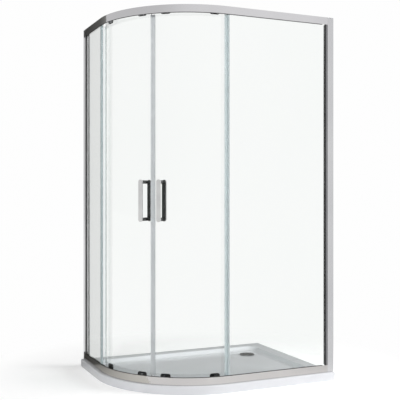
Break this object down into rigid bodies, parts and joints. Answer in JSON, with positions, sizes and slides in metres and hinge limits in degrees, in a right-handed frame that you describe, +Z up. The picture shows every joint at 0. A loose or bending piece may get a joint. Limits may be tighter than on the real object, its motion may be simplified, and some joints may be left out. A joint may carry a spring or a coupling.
{
  "type": "corner shower enclosure",
  "caption": "Round-fronted corner shower enclosure on a low tray, with straight fixed glass panes and curved glass doors that slide apart from the middle of the curve.",
  "frame": {"origin": "middle of the tray's bounding box, on the floor", "axes": "+Z up; +X along the longer run, towards the wall at its end; +Y along the shorter run, towards the wall behind; the round corner points to -X -Y"},
  "size_m": [1.2, 0.9, 2.015],
  "materials": {
    "tray_white": "smooth gloss",
    "anodised": "bright anodised",
    "satin_bar": "satin with polished edges",
    "chrome_bright": "polished",
    "steel": "plain",
    "clear_glass": "clear toughened",
    "clear_seal": "soft clear plastic, faintly blue-green",
    "grey_seal": "soft satin",
    "black_rubber": "matt",
    "black_plastic": "satin",
    "grey_plastic": "satin",
    "white_plastic": "smooth"
  },
  "bodies": {
    "frame": {"tray": "tray_white", "waste_flange": "chrome_bright", "waste_gasket": "black_rubber", "waste_nut": "grey_plastic", "waste_strainer": "steel", "wall_profile_left": "anodised", "wall_profile_right": "anodised", "profile_cap_left": "grey_plastic", "profile_cap_right": "grey_plastic", "jamb_left": "anodised", "jamb_right": "anodised", "profile_screws": "steel", "top_rail": "anodised", "bottom_rail": "anodised", "rail_bracket_top_left": "grey_plastic", "rail_bracket_top_right": "grey_plastic", "rail_bracket_bottom_left": "grey_plastic", "rail_bracket_bottom_right": "grey_plastic", "rail_screws": "steel", "door_stops": "black_rubber", "fixed_glass_left": "clear_glass", "fixed_glass_right": "clear_glass", "glass_gasket_left": "black_rubber", "glass_gasket_right": "black_rubber", "overlap_seal_left": "clear_seal", "overlap_seal_right": "clear_seal"},
    "left_door": {"door_glass_left": "clear_glass", "closing_seal_left": "grey_seal", "trailing_seal_left": "clear_seal", "carrier_left_lead": "black_plastic", "carrier_left_trail": "black_plastic", "axle_pins_left": "steel", "clamp_screws_left": "steel", "guide_left_lead": "black_plastic", "guide_left_trail": "black_plastic", "outer_handle_left": "satin_bar", "inner_handle_left": "satin_bar", "handle_posts_left": "black_plastic"},
    "right_door": {"door_glass_right": "clear_glass", "closing_seal_right": "grey_seal", "trailing_seal_right": "clear_seal", "carrier_right_lead": "black_plastic", "carrier_right_trail": "black_plastic", "axle_pins_right": "steel", "clamp_screws_right": "steel", "guide_right_lead": "black_plastic", "guide_right_trail": "black_plastic", "outer_handle_right": "satin_bar", "inner_handle_right": "satin_bar", "handle_posts_right": "black_plastic"},
    "waste_cover": {"waste_cover": "chrome_bright"},
    "wheel_left_lead": {"wheel_left_lead": "white_plastic"},
    "wheel_left_trail": {"wheel_left_trail": "white_plastic"},
    "wheel_right_lead": {"wheel_right_lead": "white_plastic"},
    "wheel_right_trail": {"wheel_right_trail": "white_plastic"},
    "release_button_left_lead": {"release_button_left_lead": "chrome_bright"},
    "release_button_left_trail": {"release_button_left_trail": "chrome_bright"},
    "release_button_right_lead": {"release_button_right_lead": "chrome_bright"},
    "release_button_right_trail": {"release_button_right_trail": "chrome_bright"}
  },
  "joints": [
    {"name": "left_door_slide", "type": "hinge", "parent": "frame", "child": "left_door", "pos_m": [0.12992, 0.1613, 1], "axis": [0, 0, -1], "range_deg": [0, 21.9]},
    {"name": "right_door_slide", "type": "hinge", "parent": "frame", "child": "right_door", "pos_m": [0.0113, 0.27992, 1], "axis": [0, 0, 1], "range_deg": [0, 21.9]},
    {"name": "left_lead_wheel_spin", "type": "hinge", "parent": "left_door", "child": "wheel_left_lead", "pos_m": [-0.45481, -0.20708, 2.0018], "axis": [-0.7967, -0.6044, 0], "range_deg": [-5, 1554]},
    {"name": "left_trail_wheel_spin", "type": "hinge", "parent": "left_door", "child": "wheel_left_trail", "pos_m": [-0.55442, 0.03898, 2.0018], "axis": [-0.9928, -0.1201, 0], "range_deg": [-5, 1562]},
    {"name": "right_lead_wheel_spin", "type": "hinge", "parent": "right_door", "child": "wheel_right_lead", "pos_m": [-0.35707, -0.30481, 2.0018], "axis": [0.6044, 0.7967, 0], "range_deg": [-5, 1554]},
    {"name": "right_trail_wheel_spin", "type": "hinge", "parent": "right_door", "child": "wheel_right_trail", "pos_m": [-0.11102, -0.40442, 2.0018], "axis": [0.1201, 0.9928, 0], "range_deg": [-5, 1562]},
    {"name": "left_lead_button_press", "type": "slide", "parent": "left_door", "child": "release_button_left_lead", "axis": [-0.7967, -0.6044, 0], "range_m": [0, 0.0022], "stiffness_N_per_m": 600},
    {"name": "left_trail_button_press", "type": "slide", "parent": "left_door", "child": "release_button_left_trail", "axis": [-0.9928, -0.1201, 0], "range_m": [0, 0.0022], "stiffness_N_per_m": 600},
    {"name": "right_lead_button_press", "type": "slide", "parent": "right_door", "child": "release_button_right_lead", "axis": [-0.6044, -0.7967, 0], "range_m": [0, 0.0022], "stiffness_N_per_m": 600},
    {"name": "right_trail_button_press", "type": "slide", "parent": "right_door", "child": "release_button_right_trail", "axis": [-0.1201, -0.9928, 0], "range_m": [0, 0.0022], "stiffness_N_per_m": 600},
    {"name": "waste_cover_lift", "type": "slide", "parent": "frame", "child": "waste_cover", "axis": [0, 0, 1], "range_m": [0, 0.06]}
  ],
  "couplings": [
    {"joint": "left_lead_wheel_spin", "follows": "left_door_slide", "ratio": 69.11},
    {"joint": "left_trail_wheel_spin", "follows": "left_door_slide", "ratio": 69.519},
    {"joint": "right_lead_wheel_spin", "follows": "right_door_slide", "ratio": 69.11},
    {"joint": "right_trail_wheel_spin", "follows": "right_door_slide", "ratio": 69.519}
  ]
}
